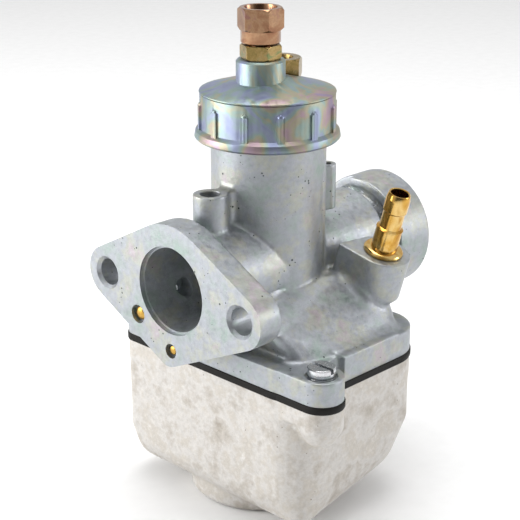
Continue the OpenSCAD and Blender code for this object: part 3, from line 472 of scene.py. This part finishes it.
def cornersOf(name):
    low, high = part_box(name)
    return low / mm, high / mm


flangeBolts = mounts["flange_bolts"]
boltR = flangeBolts["dims"]["hole_r_mm"]
boltY = flangeBolts["dims"]["spacing_x_mm"] / 2
boltZ = flangeBolts["pos_m"][2] / mm
outletR = mounts["outlet_bore"]["dims"]["r_mm"]
slideLow, slideHigh = cornersOf("throttle_slide")
slideX = (slideLow.x + slideHigh.x) / 2
jointZ = cornersOf("bowl_gasket")[1].z
lidSeatZ = cornersOf("lid_gasket")[0].z
washerZ = cornersOf("bowl_spring_washers")[0].z
screwLow, screwHigh = cornersOf("bowl_screws")
plugLow, plugHigh = cornersOf("flange_plugs")
onFace = 0.01  # mm, a point this near a plane lies on it
past = 1  # mm that a cutter runs past the face it starts from
far = 100  # mm, beyond every side of the casting

castBody = {  # all in mm
    "allowance": 1.0,  # extra metal on faces that are machined afterwards
    "voxel": 0.36,
    "fillet": 0.7,
    "relax": 3,
    "thin": 0.5,  # share of faces kept before machining
    "boltCore": 7.1,  # depth to which the bolt holes are filled
    "registerDepth": 1.2,
    "taper": (0.38, 8.7),  # how much narrower than the outlet it starts, and how far from the slide it ends
    "throat": (8, 46.5),  # radius, and where it ends
    "horn": (9.2, 78.2),  # the same where it opens out
    "slideFit": 0.05,
    "slideFloor": -8.4,
    "chamfer": (1.85, 0.85),  # how far it widens a bolt hole, and its depth
    "port": (12.2, -4.4, 2.3),  # x, z and radius of the port in the bore's wall
    "portY": (4, 11.5),
    "boltDepth": 9,
    "posts": [(14, 0, 13, 2.55), (49, -7.3, 16, 1.1)],  # x, y, floor and radius of each post's hole
    "postTop": 30,
    "spot": (4.0, 8),  # radius and height of the spot face over each bowl screw
    "screwHoleR": 2.2,
}
headR = 3.5  # a bowl screw's head, mm
earSpots = [(screwLow.x + headR, screwLow.y + headR), (screwHigh.x - headR, screwHigh.y - headR)]

flangePlugs = {
    "r": (1.8, 1.3),
    "fit": 0.02,
    "ring": 0.65,  # how much wider the counterbore is
    "ringDepth": 1.6,
    "depth": 6,
}
plugSpots = []
for r, edge, way in zip(flangePlugs["r"], (plugHigh, plugLow), (-1, 1)):
    inset = way * (r - flangePlugs["fit"])
    plugSpots.append((edge.y + inset, edge.z + inset, r))

bodyCasting = roughCasting(
    "bodyCasting", "body_casting", castBody, [(0, 0, -1), (2, jointZ, -1)],
    [((-past, 0, 0), (23, 0, 0), outletR + 0.8), ((22, 0, 0), (46, 0, 0), castBody["throat"][0] + 1)]
    + [((-past, y, boltZ), (castBody["boltCore"], y, boltZ), boltR + 1) for y in (-boltY, boltY)],
)
print("body cast")

lug = {"place": (53.0, -23.6, 2.9), "lean": 16.4, "r": 7.4, "corner": (-7.8, 7.5), "cornerR": 0.8}
lugPlace = Matrix.Translation(Vector(lug["place"]) * mm) @ Matrix.Rotation(math.radians(lug["lean"]), 4, "X")
fromLug = lugPlace.inverted()

# the shoulder under the fuel lug is one soft sweep, so only it is relaxed much further
sweep = {
    "steps": 120,
    "x": (20.5, 56),
    "y": -11.5,
    "z": (-16.6, -3),
    "barrel": (34.3, 15.2),  # the barrel's axis, and how near the sweep comes to it
    "lugGap": 0.3,
    "fade": 1.2,
}


def sweepShare(x, y, z):
    # 1 well inside the sweep, 0 outside it and at the lug and the barrel
    local = fromLug @ (Vector((x, y, z)) * mm) / mm
    corner = Vector(lug["corner"])
    along = max(0, min(1, local.xy.dot(corner) / corner.length_squared))
    lugR = lug["r"] + (lug["cornerR"] - lug["r"]) * along
    fromSide = (local.xy - corner * along).length - lugR
    fromBarrel = math.hypot(x - sweep["barrel"][0], y) - sweep["barrel"][1]
    inside = min(x - sweep["x"][0], sweep["x"][1] - x, sweep["y"] - y, z - sweep["z"][0], sweep["z"][1] - z,
                 fromBarrel, fromSide - sweep["lugGap"])
    return max(0, min(1, inside / sweep["fade"]))


group = bodyCasting.vertex_groups.new(name="sweep")
for v in bodyCasting.data.vertices:
    share = sweepShare(*(v.co / mm))
    if share > 0:
        group.add([v.index], share, "REPLACE")
baked(bodyCasting, "SMOOTH", factor=0.5, iterations=sweep["steps"], vertex_group="sweep")
baked(bodyCasting, "DECIMATE", ratio=castBody["thin"])
print("shoulder swept")

throatR, throatEnd = castBody["throat"]
hornR, hornEnd = castBody["horn"]
taperStep, taperGap = castBody["taper"]
slideR = (slideHigh.x - slideLow.x) / 2 + castBody["slideFit"]
chamferR, chamferDepth = castBody["chamfer"]
portX, portZ, portR = castBody["port"]
portStart, portEnd = castBody["portY"]
spotR, spotH = castBody["spot"]
cuts = [
    (slab, (-6, -far, -far), (0, far, far)),
    (slab, (-10, -far, -far), (far, far, jointZ)),
    (rod, (-past, 0, 0), (castBody["registerDepth"], 0, 0), outletR, None, 128),
    (rod, (-past / 2, 0, 0), (slideX - taperGap, 0, 0), outletR - taperStep, throatR, 128),
    (rod, (20, 0, 0), (throatEnd, 0, 0), throatR, None, 96),
    (rod, (throatEnd - 1, 0, 0), (hornEnd, 0, 0), throatR, hornR, 96),
    (rod, (slideX, 0, castBody["slideFloor"]), (slideX, 0, lidSeatZ + 2), slideR, None, 128),
]
for y in (boltY, -boltY):
    cuts.append((rod, (-past, y, boltZ), (castBody["boltDepth"], y, boltZ), boltR))
for y in (boltY, -boltY):
    cuts.append((rod, (-past, y, boltZ), (chamferDepth, y, boltZ), boltR + chamferR, boltR))
for y, z, r in plugSpots:
    cuts.append((rod, (-past, y, z), (flangePlugs["ringDepth"], y, z), r + flangePlugs["ring"]))
for y, z, r in plugSpots:
    cuts.append((rod, (-past, y, z), (flangePlugs["depth"], y, z), r + flangePlugs["fit"]))
cuts.append((rod, (portX, portStart, portZ), (portX, portEnd, portZ), portR))
for x, y, z, r in castBody["posts"]:
    cuts.append((rod, (x, y, z), (x, y, castBody["postTop"]), r))
for x, y in earSpots:
    cuts.append((rod, (x, y, washerZ), (x, y, washerZ + spotH), spotR))
for x, y in earSpots:
    cuts.append((rod, (x, y, jointZ - past), (x, y, washerZ + past), castBody["screwHoleR"]))
cutAway(bodyCasting, cuts)
surfaced(bodyCasting, "zinc_casting")
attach(bodyCasting, "housing")
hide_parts("body_casting")
print("body casting machined,", len(bodyCasting.data.polygons), "faces")

castBowl = {
    "allowance": 1.0,
    "voxel": 0.42,
    "fillet": 0.6,
    "relax": 4,
    "thin": 0.5,
    "holeR": 2.04,
    "holeDepth": 9,
}
bowlTop = cornersOf("float_bowl")[1].z
floatBowl = roughCasting("floatBowl", "float_bowl", castBowl, [(2, bowlTop, 1)])
baked(floatBowl, "DECIMATE", ratio=castBowl["thin"])
cuts = [(slab, (-10, -far, bowlTop), (far, far, bowlTop + 20))]
for x, y in earSpots:
    cuts.append((rod, (x, y, bowlTop - castBowl["holeDepth"]), (x, y, bowlTop + 3), castBowl["holeR"]))
cutAway(floatBowl, cuts)
surfaced(floatBowl, "cast_aluminium")
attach(floatBowl, "housing")
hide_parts("float_bowl")
print("bowl casting finished,", len(floatBowl.data.polygons), "faces")

# Hose nipple: collar, stem and a soft barb. Radius and height from the collar's seat, in mm.
nippleProfile = [
    (3.0, -8), (3.0, 0.02), (4.9, 0.02), (5.2, 0.25), (5.2, 0.7), (4.95, 1.0), (4.5, 1.32), (3.48, 1.36),
    (3.42, 6.9), (3.55, 7.05), (3.55, 7.25), (3.3, 7.45), (2.9, 7.7), (2.87, 12.0), (3.02, 12.3),
    (3.17, 12.5), (3.17, 15.6), (3.08, 16.0), (2.87, 17.3), (2.7, 17.5), (2.5, 17.5), (2.35, 17.35),
    (2.35, 2.0), (1.1, 1.5), (1.1, -8),
]
bm = bmesh.new()
turned(bm, nippleProfile, lugPlace)
finished("fuelNipple", bm, "fuel_nipple", "housing", "yellow_chromate_nipple")

# Brass plugs, set below the flange face and slightly domed. Share of the radius, and depth in mm.
plugProfile = [(0, 0.45), (0.45, 0.5), (0.8, 0.68), (0.98, 1.05), (0.99, 5.2), (0, 5.2)]
bm = bmesh.new()
for y, z, r in plugSpots:
    alongX = Matrix.Translation(Vector((0, y, z)) * mm) @ Matrix.Rotation(math.radians(90), 4, "Y")
    turned(bm, [(share * r, depth) for share, depth in plugProfile], alongX, 48)
finished("flangePlugs", bm, "flange_plugs", "housing", "brass")
print("turned pieces made")

studio = {
    "paper": [(0.3, "#fbfbfb"), (0.7, "#f7f7f7")],
    "paperSize": 3.0,  # m each way from the middle
    "paperGap": 0.2,  # mm under the bowl
    "fibre": 6.0,  # mm
    "tent": "#ffffff",
    "tentStrength": 0.72,
    "opening": (-0.66, -0.74, 0.12),  # direction of the dark opening
    "openingLight": 0.12,  # its share of the tent's light
    "camera": (-210.53, -236.41, 123.14),  # mm
    "turn": -45.68,
    "tilt": 20.0,
    "lens": 95.6,
    "softboxes": [  # offset from the middle in m, size in m, watts, colour
        ("softboxLeft", (-0.58, 0.48, 0.18), 0.5, 4.5, "#ffffff"),
        ("softboxRight", (0.45, -0.55, 0.15), 0.25, 1.2, "#fdfdff"),
        ("softboxTop", (0.05, 0.05, 0.75), 0.5, 3.4, "#ffffff"),
    ],
}

bm = bmesh.new()
bmesh.ops.create_grid(bm, x_segments=8, y_segments=8, size=studio["paperSize"])
floor = placed("floor", bm)
floor.location = (0, 0, cadBox[0].z - studio["paperGap"] * mm)
paper, tree, shader, at = newMaterial("matteWhitePaper")
fibre = addNode(tree, "TexNoise", {"Scale": 1 / studio["fibre"], "Detail": 3}, {"Vector": at})
tint = addNode(tree, "ValToRGB", {}, {"Fac": fibre.outputs["Fac"]})
rampStops(tint, studio["paper"])
linkTo(tree, shader, "Base Color", tint.outputs["Color"])
shader.inputs["Roughness"].default_value = 0.8
floor.data.materials.append(paper)

# a white tent with one dark opening, which gives metal its dark streaks
world = bpy.data.worlds.new("studioWhite")
world.use_nodes = True
sky = world.node_tree
toward = addNode(sky, "TexCoord", {})
facing = addNode(sky, "VectorMath", {"operation": "DOT_PRODUCT", 1: studio["opening"]},
                 {0: toward.outputs["Generated"]})
shade = addNode(sky, "MapRange", {"interpolation_type": "SMOOTHSTEP", "From Min": 0.55, "From Max": 0.95,
                                  "To Min": 1.0, "To Max": studio["openingLight"]},
                {"Value": facing.outputs["Value"]})
lit = addNode(sky, "Math", {"operation": "MULTIPLY", 1: studio["tentStrength"]}, {0: shade.outputs["Result"]})
linkTo(sky, sky.nodes["Background"], "Strength", lit.outputs["Value"])
sky.nodes["Background"].inputs["Color"].default_value = linearColour(studio["tent"])
scene.world = world

scene.view_settings.view_transform = "Standard"
scene.view_settings.look = "None"

centre = (cadBox[0] + cadBox[1]) / 2
for name, offset, size, power, colour in studio["softboxes"]:
    lamp = bpy.data.lights.new(name, "AREA")
    lamp.shape = "SQUARE"
    lamp.size = size
    lamp.energy = power
    lamp.color = linearColour(colour)[:3]
    box = bpy.data.objects.new(name, lamp)
    scene.collection.objects.link(box)
    box.location = centre + Vector(offset)
    box.rotation_mode = "QUATERNION"
    box.rotation_quaternion = Vector(offset).to_track_quat("Z", "Y")

lens = bpy.data.cameras.new("camera")
lens.lens = studio["lens"]
lens.sensor_width = 36
lens.clip_start = 0.01
camera = bpy.data.objects.new("camera", lens)
scene.collection.objects.link(camera)
camera.location = [c * mm for c in studio["camera"]]
camera.rotation_euler = (math.radians(90 - studio["tilt"]), 0, math.radians(studio["turn"]))
scene.camera = camera
print("studio lit")
